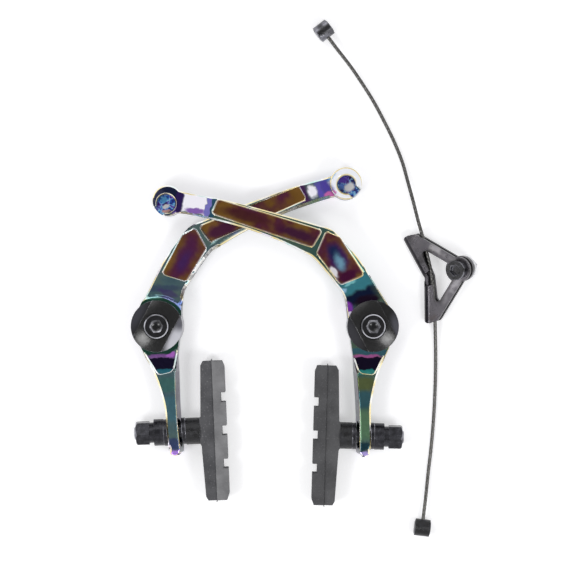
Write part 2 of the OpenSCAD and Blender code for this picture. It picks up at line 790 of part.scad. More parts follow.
module yoke() {
    color([0.08, 0.08, 0.09]) at_yoke() difference() {
        union() {
            for (z = [yoke_gap / 2, -yoke_w]) translate([0, 0, z]) linear_extrude(yoke_sheet) yoke_plate();
            for (s = [-1, 1]) yoke_roll(s);
        }
        // the front of the fold is open in the middle, with a slanted end above it
        translate([-yoke_reach - yoke_w, -1, 0]) linear_extrude(2 * yoke_w) polygon([
            [-cut, -yoke_opening / 2], [3 * yoke_w, -yoke_opening / 2],
            [3 * yoke_w, yoke_opening / 2 + 2.6], [-cut, yoke_opening / 2 - 0.6]
        ]);
        // round ends of the fold
        for (s = [-1, 1]) translate([fold_end - yoke_w - 1, s * (yoke_span / 2 - yoke_end_r), 0])
            difference() {
                translate([0, s > 0 ? 0 : -2 * yoke_end_r, -2 * yoke_w])
                    cube([yoke_end_r + 1, 2 * yoke_end_r, 4 * yoke_w]);
                translate([yoke_end_r + 1, 0, -3 * yoke_w]) cylinder(r = yoke_end_r, h = 6 * yoke_w);
            }
    }
}

module yoke_clamp_bolt() {
    color([0.12, 0.12, 0.13]) at_yoke() difference() {
        union() {
            translate([0, 0, yoke_w]) cylinder(d = clamp_head_d, h = clamp_head_h);
            translate([0, 0, -yoke_w - clamp_washer_t - clamp_nut_h - 0.6])
                cylinder(d = clamp_d, h = 2 * yoke_w + clamp_washer_t + clamp_nut_h + 0.6 + cut);
        }
        translate([0, 0, yoke_w + clamp_head_h - 2.2]) cylinder(d = clamp_hex / cos(30), h = 3, $fn = 6);
    }
}

module yoke_clamp_washer() {
    color([0.1, 0.1, 0.11]) at_yoke() translate([0, 0, -yoke_w - clamp_washer_t]) difference() {
        cylinder(d = clamp_washer_d, h = clamp_washer_t);
        translate([0, 0, -cut]) cylinder(d = clamp_d + slip, h = clamp_washer_t + 2 * cut);
    }
}

// Nut with a round flange
module yoke_clamp_nut() {
    flange_h = 1.3;
    color("silver") at_yoke() translate([0, 0, -yoke_w - clamp_washer_t - clamp_nut_h]) difference() {
        union() {
            cylinder(d = clamp_nut_af / cos(30), h = clamp_nut_h, $fn = 6);
            translate([0, 0, clamp_nut_h - flange_h]) cylinder(d = clamp_washer_d, h = flange_h);
        }
        translate([0, 0, -cut]) cylinder(d = clamp_d, h = clamp_nut_h + 2 * cut);
    }
}

front_arm();
rear_arm();
at_front() bushing();  // front_bushing
at_rear() bushing();  // rear_bushing
at_front() return_spring();  // front_return_spring
at_rear() return_spring();  // rear_return_spring
at_front() spring_cap(cap_turn);  // front_spring_cap
at_rear() spring_cap(cap_turn + rear_arm_turn);  // rear_spring_cap
at_front() bolt_washer();  // front_bolt_washer
at_rear() bolt_washer();  // rear_bolt_washer
at_front() pivot_bolt();  // front_pivot_bolt
at_rear() pivot_bolt();  // rear_pivot_bolt
at_front_post() pad_rubber(front_standoff);  // front_pad_rubber
at_rear_post() pad_rubber(rear_standoff);  // rear_pad_rubber
at_front_post() pad_post(front_standoff);  // front_pad_post
at_rear_post() pad_post(rear_standoff);  // rear_pad_post
at_front_leg() inboard() dome_washer();  // front_inner_dome
at_rear_leg() inboard() dome_washer();  // rear_inner_dome
at_front_post() inboard() cup_washer(front_standoff);  // front_inner_cup
at_rear_post() inboard() cup_washer(rear_standoff);  // rear_inner_cup
at_front_leg() dome_washer();  // front_outer_dome
at_rear_leg() dome_washer();  // rear_outer_dome
at_front_post() cup_washer(outer_stack);  // front_outer_cup
at_rear_post() cup_washer(outer_stack);  // rear_outer_cup
at_front_post() pad_nut();  // front_pad_nut
at_rear_post() pad_nut();  // rear_pad_nut
straddle_cable();
cable_end(upper_barrel_at, upper_barrel_turn);  // upper_cable_end
cable_end(lower_barrel_at, lower_barrel_turn);  // lower_cable_end
yoke();
yoke_clamp_bolt();
yoke_clamp_washer();
yoke_clamp_nut();
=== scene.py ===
"""A brake with crossed arms for a bicycle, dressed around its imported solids."""

import json
import logging
import math
from dataclasses import dataclass, field
from enum import Enum
from typing import Any, Callable, Iterable

import bmesh
import bpy
from mathutils import Matrix, Vector

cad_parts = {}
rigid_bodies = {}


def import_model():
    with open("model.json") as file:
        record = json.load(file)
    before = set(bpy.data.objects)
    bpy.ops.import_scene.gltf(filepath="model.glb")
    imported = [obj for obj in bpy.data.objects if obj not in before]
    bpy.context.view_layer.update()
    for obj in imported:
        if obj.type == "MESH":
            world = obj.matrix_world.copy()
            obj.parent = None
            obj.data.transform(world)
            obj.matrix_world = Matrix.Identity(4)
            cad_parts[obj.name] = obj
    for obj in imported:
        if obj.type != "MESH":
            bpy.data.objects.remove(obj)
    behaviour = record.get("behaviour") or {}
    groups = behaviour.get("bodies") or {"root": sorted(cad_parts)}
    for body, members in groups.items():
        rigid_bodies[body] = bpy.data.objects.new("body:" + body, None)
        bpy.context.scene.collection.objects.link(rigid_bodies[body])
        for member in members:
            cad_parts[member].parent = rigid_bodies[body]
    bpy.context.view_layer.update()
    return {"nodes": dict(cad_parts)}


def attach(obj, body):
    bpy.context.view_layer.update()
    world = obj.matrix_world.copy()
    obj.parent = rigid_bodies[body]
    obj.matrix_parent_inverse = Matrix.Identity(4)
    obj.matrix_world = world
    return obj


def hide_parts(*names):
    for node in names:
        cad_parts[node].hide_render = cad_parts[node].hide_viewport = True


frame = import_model()

LOG = logging.getLogger("u_brake")
MM = 0.001
# The heads of the pivot bolts lie above this height
HEAD_LOW_MM = 15.0


class Side(Enum):
    """The two arms: the front one passes over the rear one."""

    FRONT = "front"
    REAR = "rear"


class Edge(Enum):
    """How far the edges of a kind of piece are broken, in millimetres."""

    TURNED = 0.25
    SHEET = 0.35
    MOULDED = 0.8


# Colour and node helpers


def linear(code: str) -> tuple[float, float, float, float]:
    """Turns an sRGB hex colour to linear light.

    Args:
        code: Six hex digits, such as "3a5258".

    Returns:
        Red, green, blue and an alpha of 1.
    """
    parts = [int(code[i:i + 2], 16) / 255 for i in (0, 2, 4)]
    light = [c / 12.92 if c <= 0.04045 else ((c + 0.055) / 1.055) ** 2.4 for c in parts]
    return (light[0], light[1], light[2], 1.0)


def add(tree: bpy.types.NodeTree, kind: str, inputs: dict[Any, Any] | None = None, **settings: Any) -> bpy.types.Node:
    """Adds a node with its settings and links.

    Args:
        tree: The node tree of a material or the world.
        kind: The node's type without the "ShaderNode" in front.
        inputs: Values, or sockets to link, by input name or number.
        settings: The node's own properties.

    Returns:
        The new node.
    """
    made = tree.nodes.new("ShaderNode" + kind)
    for name, value in settings.items():
        setattr(made, name, value)
    for name, value in (inputs or {}).items():
        if isinstance(value, bpy.types.NodeSocket):
            tree.links.new(value, made.inputs[name])
        else:
            made.inputs[name].default_value = value
    return made


def ramp(tree: bpy.types.NodeTree, factor: bpy.types.NodeSocket, stops: Iterable[tuple[float, str]]) -> bpy.types.NodeSocket:
    """Adds a colour ramp.

    Args:
        tree: The material's node tree.
        factor: What drives the ramp.
        stops: Places from 0 to 1, each with a hex colour.

    Returns:
        The ramp's colour.
    """
    made = add(tree, "ValToRGB", {"Fac": factor})
    elements = made.color_ramp.elements
    for number, (place, code) in enumerate(stops):
        element = elements[number] if number < 2 else elements.new(place)
        element.position = place
        element.color = linear(code)
    return made.outputs["Color"]


def mixed(tree: bpy.types.NodeTree, factor: Any, below: Any, above: Any, blend: str = "MIX") -> bpy.types.NodeSocket:
    """Mixes two colours.

    Args:
        tree: The material's node tree.
        factor: How much of the upper colour shows.
        below: The lower colour.
        above: The upper colour.
        blend: The mix node's blend type.

    Returns:
        The mixed colour.
    """
    made = add(tree, "Mix", {0: factor, 6: below, 7: above}, data_type="RGBA", blend_type=blend)
    return made.outputs[2]


def ranged(tree: bpy.types.NodeTree, value: Any, low: float, high: float, start: float = 0.0, end: float = 1.0) -> bpy.types.NodeSocket:
    """Maps a range smoothly to another.

    Args:
        tree: The material's node tree.
        value: What is mapped.
        low: Where the range starts.
        high: Where the range ends.
        start: The result at the start.
        end: The result at the end.

    Returns:
        The mapped value.
    """
    made = add(
        tree, "MapRange", {"Value": value, "From Min": low, "From Max": high, "To Min": start, "To Max": end},
        interpolation_type="SMOOTHSTEP",
    )
    return made.outputs["Result"]


def times(tree: bpy.types.NodeTree, a: Any, b: Any) -> bpy.types.NodeSocket:
    """Multiplies two values."""
    return add(tree, "Math", {0: a, 1: b}, operation="MULTIPLY").outputs[0]


def noise(tree: bpy.types.NodeTree, where: bpy.types.NodeSocket, grain_mm: float, detail: float = 3.0) -> bpy.types.Node:
    """Adds a noise whose grain is a real size.

    Args:
        tree: The material's node tree.
        where: The coordinates, in metres.
        grain_mm: The size of one blotch.
        detail: Octaves of finer noise.

    Returns:
        The noise node.
    """
    return add(tree, "TexNoise", {"Vector": where, "Scale": 1 / (grain_mm * MM), "Detail": detail, "Roughness": 0.55})


def blank(name: str) -> tuple[bpy.types.Material, bpy.types.NodeTree, bpy.types.Node, bpy.types.NodeSocket]:
    """Makes a material with only its shader.

    Args:
        name: The real finish.

    Returns:
        The material, its tree, its shader and its object coordinates.
    """
    material = bpy.data.materials.new(name)
    material.use_nodes = True
    tree = material.node_tree
    tree.nodes.clear()
    shader = add(tree, "BsdfPrincipled")
    add(tree, "OutputMaterial", {"Surface": shader.outputs[0]})
    return material, tree, shader, add(tree, "TexCoord").outputs["Object"]


def roughened(tree: bpy.types.NodeTree, shader: bpy.types.Node, height: bpy.types.NodeSocket, depth_mm: float) -> None:
    """Gives a shader a bump of a real depth.

    Args:
        tree: The material's node tree.
        shader: The shader that gets the bump.
        height: The bump's height, from 0 to 1.
        depth_mm: How deep the bump is.
    """
    bump = add(tree, "Bump", {"Height": height, "Strength": 1.0, "Distance": depth_mm * MM})
    tree.links.new(bump.outputs[0], shader.inputs["Normal"])


# Finishes


class Place(Enum):
    """Where on an arm a patch lies: on the film, or on the painted highlight of the chamfers."""

    FACE = "face"
    FLOOR = "floor"
    SOCKET = "socket"
    # Painted highlight along the sloped chamfers
    RIM_HIGHLIGHT = "rim"


@dataclass(frozen=True)
class Patch:
    """A place where the film has another colour, or a painted highlight or reflection: an ellipse, or a band with
    straight sides.
    """

    x_mm: float
    y_mm: float
    long_mm: float
    wide_mm: float
    turn_deg: float
    colour: str
    strength: float = 1.0
    band: bool = False
    # Painted highlight: the patch is a painted glint or reflection, shown white and less metallic
    painted_highlight: bool = False
    place: Place = Place.FACE
    soft: float = 0.0

    def mask(self, tree: bpy.types.NodeTree, where: bpy.types.NodeSocket) -> bpy.types.NodeSocket:
        """Finds how much of a point lies in the patch.

        Args:
            tree: The material's node tree.
            where: The coordinates, in metres.

        Returns:
            From 0 outside to the patch's strength inside.
        """
        inner = add(
            tree, "Mapping", {
                "Vector": where, "Location": (self.x_mm * MM, self.y_mm * MM, 0.0),
                "Rotation": (0.0, 0.0, math.radians(self.turn_deg)), "Scale": (self.long_mm * MM, self.wide_mm * MM, 1.0),
            }, vector_type="TEXTURE",
        ).outputs[0]
        flat = add(tree, "VectorMath", {0: inner, 1: (1.0, 1.0, 0.0)}, operation="MULTIPLY").outputs[0]
        if self.band:
            parts = add(tree, "SeparateXYZ", {0: add(tree, "VectorMath", {0: flat}, operation="ABSOLUTE").outputs[0]})
            away = add(tree, "Math", {0: parts.outputs[0], 1: parts.outputs[1]}, operation="MAXIMUM").outputs[0]
        else:
            away = add(tree, "VectorMath", {0: flat}, operation="LENGTH").outputs["Value"]
        soft = self.soft or (0.13 if self.band else 0.4)
        return ranged(tree, away, 1.0 - soft, 1.0 + 0.5 * soft, self.strength, 0.0)


@dataclass(frozen=True)
class OilSlick:
    """Polished forged alloy under a thin oxide film: mirror smooth, its colour drifts with the film's thickness; its
    chamfers carry a painted highlight, and some patches are painted glints and reflections.
    """

    name: str
    face_top_mm: float
    pocket_depth_mm: float
    rimward: float
    tip_mm: tuple[float, float]
    tip_top_mm: float
    face: tuple[tuple[float, str], ...]
    floor: tuple[tuple[float, str], ...]
    patches: tuple[Patch, ...]
    drift_mm: float = 16.0

    def build(self) -> bpy.types.Material:
        """Builds the film's colours over one arm.

        Returns:
            The material.
        """
        material, tree, shader, where = blank(self.name)
        warp = noise(tree, where, 3.2, 3.0)
        shift = add(tree, "VectorMath", {0: warp.outputs["Color"], 1: (-0.5, -0.5, -0.5)}, operation="ADD").outputs[0]
        small = add(tree, "VectorMath", {0: shift, "Scale": 2.6 * MM}, operation="SCALE").outputs[0]
        bent = add(tree, "VectorMath", {0: where, 1: small}, operation="ADD").outputs[0]
        drift = noise(tree, where, self.drift_mm, 3.0).outputs["Fac"]
        up = add(tree, "SeparateXYZ", {0: add(tree, "TexCoord").outputs["Normal"]})
        # Painted highlight: sloped faces such as the chamfers are painted cream, white, gold and mint
        layers = {
            Place.FACE: ramp(tree, drift, self.face),
            Place.FLOOR: ramp(tree, drift, self.floor),
            Place.SOCKET: ramp(tree, noise(tree, bent, 2.2, 2.0).outputs["Fac"], (
                (0.36, "2a2f80"), (0.45, "2f70d8"), (0.52, "9fe0f6"), (0.58, "6a48c8"), (0.68, "2c1c5c"),
            )),
            Place.RIM_HIGHLIGHT: ramp(tree, noise(tree, bent, 11.0, 1.0).outputs["Fac"], (
                (0.28, "c4ece6"), (0.42, "ffffff"), (0.52, "fff4cc"), (0.6, "f2e0a4"), (0.72, "f8f2ff"),
            )),
        }
        # Painted highlight: where the painted glints and reflections lie
        painted_highlight: Any = linear("000000")
        for patch in self.patches:
            mask = patch.mask(tree, bent)
            layers[patch.place] = mixed(tree, mask, layers[patch.place], linear(patch.colour))
            if patch.place in (Place.FACE, Place.SOCKET):
                painted_highlight = mixed(tree, mask, painted_highlight, linear("ffffff" if patch.painted_highlight else "000000"))
        height = add(tree, "SeparateXYZ", {0: where}).outputs["Z"]
        level = (self.face_top_mm - self.pocket_depth_mm) * MM
        apart = add(tree, "Math", {0: height, 1: level}, operation="SUBTRACT").outputs[0]
        near = ranged(tree, add(tree, "Math", {0: apart}, operation="ABSOLUTE").outputs[0], 0.1 * MM, 0.3 * MM, 1.0, 0.0)
        level_face = ranged(tree, up.outputs["Z"], 0.9, 0.97)
        on_floor = times(tree, near, level_face)
        colour = mixed(tree, on_floor, layers[Place.FACE], layers[Place.FLOOR])
        in_tip = Patch(*self.tip_mm, 6.2, 6.2, 0.0, "ffffff", soft=0.05).mask(tree, where)
        sunk = ranged(tree, height, (self.tip_top_mm - 1.6) * MM, (self.tip_top_mm - 1.0) * MM, 1.0, 0.0)
        in_socket = times(tree, times(tree, in_tip, sunk), level_face)
        colour = mixed(tree, in_socket, colour, layers[Place.SOCKET])
        # Painted highlight: sloped faces take the bright rim colours
        highlight_slope = times(tree, ranged(tree, up.outputs["Z"], 0.05, 0.16), ranged(tree, up.outputs["Z"], 0.8, 0.95, 1.0, 0.0))
        colour = mixed(tree, highlight_slope, colour, layers[Place.RIM_HIGHLIGHT])
        wall = ramp(tree, drift, ((0.35, "1d1430"), (0.5, "3a2350"), (0.6, "1c3a44"), (0.7, "5a3f78")))
        steep = ranged(tree, add(tree, "Math", {0: up.outputs["Z"]}, operation="ABSOLUTE").outputs[0], 0.04, 0.12, 1.0, 0.0)
        side = ranged(tree, times(tree, up.outputs["X"], self.rimward), 0.9, 0.97)
        steep = add(tree, "Math", {0: steep, 1: side}, operation="MAXIMUM").outputs[0]
        colour = mixed(tree, steep, colour, wall)
        tree.links.new(colour, shader.inputs["Base Color"])
        # Painted highlights turn the metal to plain diffuse colour where they are not on a floor or wall
        bare = add(tree, "Math", {0: 1.0, 1: in_socket}, operation="SUBTRACT").outputs[0]
        covered = add(tree, "Math", {0: times(tree, on_floor, bare), 1: steep}, operation="MAXIMUM").outputs[0]
        shown = times(tree, painted_highlight, add(tree, "Math", {0: 1.0, 1: covered}, operation="SUBTRACT").outputs[0])
        tree.links.new(ranged(tree, shown, 0.0, 1.0, 0.9, 0.1), shader.inputs["Metallic"])
        fine = noise(tree, where, 1.2, 2.0).outputs["Fac"]
        tree.links.new(ranged(tree, fine, 0.3, 0.7, 0.12, 0.24), shader.inputs["Roughness"])
        roughened(tree, shader, noise(tree, where, 3.5, 2.0).outputs["Fac"], 0.02)
        return material


@dataclass(frozen=True)
class BlackFinish:
    """Black oxide or paint on steel: nearly black and satin, worn a little grey in blotches, with a painted highlight
    along its broken edges and, on some pieces, patches of painted light and shade.
    """

    name: str
    dark: str
    worn: str
    roughness: float
    metallic: float
    grain_mm: float
    depth_mm: float
    axis: str
    # The colour of the painted highlight along broken edges
    edge: str
    ledge_mm: float | None = None
    patches: tuple[Patch, ...] = ()

    def build(self) -> bpy.types.Material:
        """Builds the finish.

        Returns:
            The material.
        """
        material, tree, shader, where = blank(self.name)
        blotch = noise(tree, where, self.grain_mm * 4, 3.0).outputs["Fac"]
        normal = add(tree, "SeparateXYZ", {0: add(tree, "TexCoord").outputs["Normal"]})
        facing = add(tree, "Math", {0: normal.outputs[self.axis]}, operation="ABSOLUTE").outputs[0]
        # Painted highlight: broken edges are painted brighter and more metallic, here more and there less
        highlight_slope = times(tree, ranged(tree, facing, 0.1, 0.3), ranged(tree, facing, 0.84, 0.95, 1.0, 0.0))
        uneven = ranged(tree, noise(tree, where, 5.0, 1.0).outputs["Fac"], 0.36, 0.6, 0.2, 0.95)
        edge_highlight = times(tree, highlight_slope, uneven)
        colour = ramp(tree, blotch, ((0.35, self.dark), (0.7, self.worn)))
        near: Any = 1.0
        if self.ledge_mm is not None:
            height = add(tree, "SeparateXYZ", {0: where}).outputs["Z"]
            apart = add(tree, "Math", {0: height, 1: self.ledge_mm * MM}, operation="SUBTRACT").outputs[0]
            apart = add(tree, "Math", {0: apart}, operation="ABSOLUTE").outputs[0]
            near = ranged(tree, apart, 0.04 * MM, 0.1 * MM, 1.0, 0.0)
        # Patches of painted light and shade, such as on the lit and shaded flats of the caps and along the fold of the
        # yoke
        for patch in self.patches:
            colour = mixed(tree, times(tree, near, patch.mask(tree, where)), colour, linear(patch.colour))
        colour = mixed(tree, edge_highlight, colour, linear(self.edge))
        tree.links.new(colour, shader.inputs["Base Color"])
        tree.links.new(
            ranged(tree, blotch, 0.3, 0.7, self.roughness * 0.85, self.roughness * 1.2), shader.inputs["Roughness"]
        )
        tree.links.new(ranged(tree, edge_highlight, 0.0, 1.0, self.metallic, 0.85), shader.inputs["Metallic"])
        shader.inputs["Specular IOR Level"].default_value = 0.4
        roughened(tree, shader, noise(tree, where, self.grain_mm, 3.0).outputs["Fac"], self.depth_mm)
        return material


@dataclass(frozen=True)
class MouldedRubber:
    """Moulded brake rubber: matt charcoal, dusty with release agent, mottled where the mould was rough."""

    name: str
    back_half: tuple[str, str]
    face_half: tuple[str, str]
    dust: str
    back_mm: tuple[float, float]
    outward_deg: float
    parting_mm: float = 5.95
    nib_from_mm: float = 27.6

    def score(self, bm: bmesh.types.BMesh) -> None:
        """Cuts the fine line where the two halves of the mould met.

        Args:
            bm: The pad's mesh.
        """
        angle = math.radians(self.outward_deg)
        outward = Vector((math.cos(angle), math.sin(angle), 0.0))
        point = Vector((*self.back_mm, 0.0)) * MM - outward * self.parting_mm * MM
        middle: list[bmesh.types.BMVert] = []
        for step in (-0.2, 0.0, 0.2):
            cut = bmesh.ops.bisect_plane(
                bm, geom=[*bm.verts, *bm.edges, *bm.faces], dist=1e-7, plane_co=point + outward * step * MM, plane_no=outward,
            )
            if step == 0.0:
                middle = [v for v in cut["geom_cut"] if isinstance(v, bmesh.types.BMVert)]
        bm.normal_update()
        along = Vector((-outward.y, outward.x, 0.0))
        for vert in middle:
            at_end = abs((vert.co - point).dot(along)) > self.nib_from_mm * MM and abs(vert.normal.dot(along)) > 0.8
            # The line sinks, and leaves a nib of rubber where it runs over the pad's ends
            vert.co += vert.normal * (0.8 if at_end else -0.28) * MM

    def build(self) -> bpy.types.Material:
        """Builds the rubber.

        Returns:
            The material.
        """
        material, tree, shader, where = blank(self.name)
        cloud = noise(tree, where, 7.0, 4.0).outputs["Fac"]
        own = add(
            tree, "Mapping", {
                "Vector": where, "Location": (self.back_mm[0] * MM, self.back_mm[1] * MM, 0.0),
                "Rotation": (0.0, 0.0, math.radians(self.outward_deg)),
            }, vector_type="TEXTURE",
        ).outputs[0]
        inward = add(tree, "SeparateXYZ", {0: own}).outputs["X"]
        half = ranged(tree, inward, -(self.parting_mm + 0.2) * MM, (0.1 - self.parting_mm) * MM, 1.0, 0.0)
        colour = mixed(
            tree, half, ramp(tree, cloud, ((0.3, self.back_half[0]), (0.7, self.back_half[1]))),
            ramp(tree, cloud, ((0.3, self.face_half[0]), (0.7, self.face_half[1]))),
        )
        speck = noise(tree, where, 0.7, 2.0).outputs["Fac"]
        colour = mixed(tree, ranged(tree, speck, 0.58, 0.75, 0.0, 0.45), colour, linear(self.dust))
        tree.links.new(colour, shader.inputs["Base Color"])
        shader.inputs["Roughness"].default_value = 0.75
        shader.inputs["Specular IOR Level"].default_value = 0.3
        roughened(tree, shader, noise(tree, where, 0.9, 3.0).outputs["Fac"], 0.12)
        return material


@dataclass(frozen=True)
class PlainMetal:
    """Bare or plated metal: its own colour in every reflection, streaked by how it was drawn or turned."""

    name: str
    colour: str
    shade: str
    roughness: float
    grain_mm: float

    def build(self) -> bpy.types.Material:
        """Builds the metal.

        Returns:
            The material.
        """
        material, tree, shader, where = blank(self.name)
        streak = noise(tree, where, self.grain_mm, 3.0).outputs["Fac"]
        tree.links.new(ramp(tree, streak, ((0.3, self.shade), (0.65, self.colour))), shader.inputs["Base Color"])
        shader.inputs["Metallic"].default_value = 1.0
        tree.links.new(
            ranged(tree, streak, 0.3, 0.7, self.roughness * 0.8, self.roughness * 1.2), shader.inputs["Roughness"]
        )
        roughened(tree, shader, streak, 0.02)
        return material


FRONT_FILM = OilSlick(
    "oil_slick_film_front", 15.5, 1.3, -1.0, (-39.7, 51.2), 15.5,
    ((0.3, "35544c"), (0.45, "43625a"), (0.56, "566a58"), (0.7, "3e5066")),
    ((0.3, "552a58"), (0.42, "5c2a34"), (0.52, "7d5a26"), (0.62, "8a6630"), (0.74, "663038")),
    # Among these patches, the white and near-white ones and the pale cyan glint below the short pocket are painted
    # highlights and reflections
    (
        Patch(-40.2, 51.6, 7.6, 7.2, 0.0, "3a3c58"), Patch(-37.4, 54.6, 6.0, 2.2, -25.0, "1c2340"),
        Patch(-34.9, 50.8, 1.9, 6.4, -12.0, "33205c", band=True),
        Patch(-28.6, 50.6, 4.9, 4.6, -10.0, "f4f2fb", band=True, painted_highlight=True),
        Patch(-28.3, 47.0, 4.6, 1.3, -8.0, "8a4fc0", 0.9), Patch(-22.9, 49.4, 1.1, 6.0, -12.0, "8a86d8", band=True),
        Patch(-21.0, 48.9, 0.8, 6.0, -12.0, "2f5a72", band=True),
        Patch(37.4, 17.0, 8.0, 3.4, 24.0, "3f8694", band=True, soft=0.5),
        Patch(38.6, 12.2, 9.0, 2.6, 24.0, "0e1a38", band=True, soft=0.5), Patch(34.6, 17.4, 2.6, 0.9, 24.0, "8fd8dc", 0.8),
        Patch(31.4, 13.9, 2.4, 1.2, 30.0, "9fd0ee"), Patch(41.8, 10.6, 6.0, 2.2, 10.0, "1c0c22"),
        Patch(33.9, 7.6, 2.2, 2.6, 20.0, "8a3fb4"), Patch(34.0, 4.8, 1.4, 0.9, 30.0, "f3e9ff", painted_highlight=True),
        Patch(42.6, -10.6, 9.0, 1.2, -4.0, "35606e", 0.9, band=True), Patch(41.6, -12.4, 6.5, 1.0, 0.0, "b05a9a", 0.9),
        Patch(41.0, -15.6, 8.0, 2.9, 0.0, "120b22", band=True), Patch(40.9, -18.6, 6.0, 0.9, 0.0, "2f8f8a", 0.85),
        Patch(40.6, -23.5, 6.0, 3.0, 0.0, "5c6438", 0.8), Patch(40.4, -30.0, 5.0, 4.0, 0.0, "2f5a68", 0.8),
        Patch(40.3, -41.0, 5.0, 7.0, 0.0, "5d8262", 0.8), Patch(40.3, -49.5, 4.0, 2.0, 0.0, "1d3a44"),
        Patch(40.6, -53.4, 4.0, 1.8, 0.0, "c9b6ff", 0.9),
        Patch(-8.0, 45.0, 11.0, 2.4, -15.0, "4c2028", 0.9, place=Place.FLOOR, soft=0.6),
        Patch(13.0, 37.6, 10.0, 2.6, -18.0, "43183c", 0.95, place=Place.FLOOR, soft=0.6),
        Patch(29.8, 28.0, 4.4, 6.6, 30.0, "44205e", place=Place.FLOOR, soft=0.5),
        Patch(28.6, 29.6, 2.6, 4.0, 30.0, "1d2a54", place=Place.FLOOR, soft=0.7),
        Patch(30.6, 26.0, 2.0, 4.0, 20.0, "86bcd6", 0.8, place=Place.FLOOR, soft=0.9),
        Patch(28.4, 22.0, 1.3, 3.0, 30.0, "fbf8ff", place=Place.FLOOR), Patch(34.0, 20.6, 4.6, 2.2, 22.0, "4a1238", place=Place.FLOOR),
        Patch(-40.6, 49.2, 1.6, 1.0, 20.0, "ffffff", place=Place.SOCKET, painted_highlight=True),
        Patch(-37.9, 53.8, 2.2, 1.4, -20.0, "7a2fc0", place=Place.SOCKET),
        Patch(-41.6, 51.8, 1.4, 1.2, 0.0, "58b4ee", place=Place.SOCKET, painted_highlight=True),
        Patch(-40.6, 46.9, 2.0, 0.9, 0.0, "e8b0a8", place=Place.SOCKET, painted_highlight=True),
    ),
)
REAR_FILM = OilSlick(
    "oil_slick_film_rear", 8.0, 1.3, 1.0, (33.15, 58.3), 13.5,
    ((0.3, "405866"), (0.45, "506a70"), (0.58, "5e716c"), (0.72, "4c5a7c")),
    ((0.3, "552a58"), (0.42, "5e2c3c"), (0.52, "7a5626"), (0.62, "86602e"), (0.74, "6a3440")),
    # Among these patches, the white ring on the tip, the white glints and the patches that tint the bright chamfers are
    # painted highlights and reflections
    (
        Patch(33.15, 58.3, 7.4, 7.4, 0.0, "f2f4fc", painted_highlight=True, soft=0.1), Patch(25.4, 61.4, 3.6, 2.0, 25.0, "7fc6f0"),
        Patch(24.9, 57.2, 2.6, 4.0, 20.0, "5c4fb4", band=True, soft=0.6), Patch(26.6, 53.9, 2.8, 1.4, 10.0, "e07ac4"),
        Patch(19.6, 55.2, 2.0, 3.0, 20.0, "f4f2fb", painted_highlight=True), Patch(15.8, 54.3, 2.2, 6.0, 20.0, "4a2a58", band=True, soft=0.6),
        Patch(22.3, 55.6, 1.2, 4.0, 20.0, "6b5cc8", band=True, soft=0.7),
        Patch(-27.0, 29.0, 20.0, 4.6, 58.0, "ffffff", 0.95, place=Place.RIM_HIGHLIGHT),
        Patch(-9.0, 43.0, 14.0, 3.0, 23.0, "fbf8ff", 0.9, place=Place.RIM_HIGHLIGHT),
        Patch(-43.0, 15.4, 10.0, 1.6, 0.0, "3c4a66", 0.7), Patch(-40.0, 13.6, 5.0, 1.4, -20.0, "4a3a70", 0.7),
        Patch(-44.0, 0.0, 12.3, 12.3, 0.0, "1e4236", soft=0.03),
        Patch(-52.0, 9.6, 4.0, 4.0, 40.0, "e2ec96", place=Place.RIM_HIGHLIGHT), Patch(-45.0, 12.6, 5.0, 2.4, 0.0, "c4f8fa", place=Place.RIM_HIGHLIGHT),
        Patch(-38.4, 11.0, 4.0, 3.0, -35.0, "b4bcf8", place=Place.RIM_HIGHLIGHT), Patch(-34.8, 7.6, 3.0, 3.0, -50.0, "88a4ea", place=Place.RIM_HIGHLIGHT),
        Patch(-33.0, 28.0, 9.0, 4.0, 62.0, "56244e", 0.95, place=Place.FLOOR, soft=0.5),
        Patch(-33.6, 26.6, 5.0, 2.2, 62.0, "4a2862", 0.9, place=Place.FLOOR, soft=0.7),
        Patch(-17.6, 39.6, 8.0, 3.0, 24.0, "4e2040", 0.95, place=Place.FLOOR, soft=0.5),
        Patch(31.8, 60.2, 2.0, 1.6, 30.0, "5a30b8", place=Place.SOCKET, painted_highlight=True),
        Patch(34.6, 57.0, 2.4, 2.0, 20.0, "ffffff", place=Place.SOCKET, painted_highlight=True),
        Patch(31.4, 57.2, 1.6, 1.2, 40.0, "5c8ce8", place=Place.SOCKET, painted_highlight=True),
        Patch(-42.0, -12.3, 7.0, 1.3, 2.0, "8a5aa0", 0.9), Patch(-38.4, -11.6, 2.2, 1.0, 20.0, "c070d8", 0.9),
        Patch(-41.6, -15.6, 8.0, 2.6, 2.0, "15102a", band=True), Patch(-41.2, -18.2, 5.0, 0.9, 4.0, "2a7486", 0.8),
        Patch(-40.2, -24.0, 6.0, 3.4, 0.0, "3f6f6a", 0.7), Patch(-38.4, -34.0, 5.0, 6.0, 0.0, "46707e", 0.8),
        Patch(-37.0, -48.0, 4.0, 2.6, 0.0, "33406e", 0.8), Patch(-36.6, -52.2, 4.0, 1.8, 0.0, "b98af0", 0.9),
    ),
)
